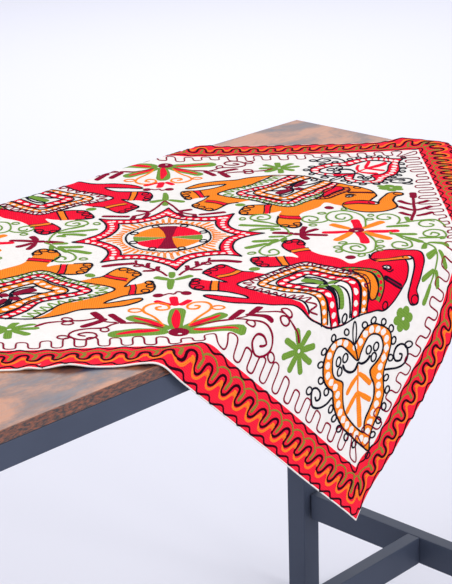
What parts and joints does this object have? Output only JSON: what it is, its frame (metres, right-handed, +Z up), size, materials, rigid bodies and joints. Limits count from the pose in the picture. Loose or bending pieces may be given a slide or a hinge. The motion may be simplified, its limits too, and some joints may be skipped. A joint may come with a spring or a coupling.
{
  "type": "embroidered tapestry draped over a bar table",
  "caption": "Square embroidered wall cloth laid corner-wise over a tall plain bar table, one corner hanging over the front edge and one over the back.",
  "frame": {"origin": "on the floor under the middle of the whole object, which is the middle of the cloth along X and of the table's depth along Y", "axes": "+X along the table to its right end, +Y to the back of the table, +Z up"},
  "size_m": [1.2696, 0.6626, 0.9065],
  "materials": {
    "embroidered_cotton": "off-white woven cotton, chain-stitched all over in red, orange, green, maroon and black thread",
    "rustic_board": "rustic brown wood-look board, satin, darker at its edge",
    "powder_coated_steel": "dark blue-grey powder coat, satin",
    "bare_steel_tab": "light grey zinc-plated plate"
  },
  "bodies": {
    "root": {"tapestry": "embroidered_cotton", "table_board": "rustic_board", "leg_front_left": "powder_coated_steel", "leg_front_right": "powder_coated_steel", "leg_back_left": "powder_coated_steel", "leg_back_right": "powder_coated_steel", "top_rail_front": "powder_coated_steel", "top_rail_back": "powder_coated_steel", "top_rail_left": "powder_coated_steel", "top_rail_right": "powder_coated_steel", "low_rail_left": "powder_coated_steel", "low_rail_right": "powder_coated_steel", "stretcher": "powder_coated_steel", "tab_front_left": "bare_steel_tab", "tab_front_right": "bare_steel_tab", "tab_back_left": "bare_steel_tab", "tab_back_right": "bare_steel_tab"}
  },
  "joints": []
}
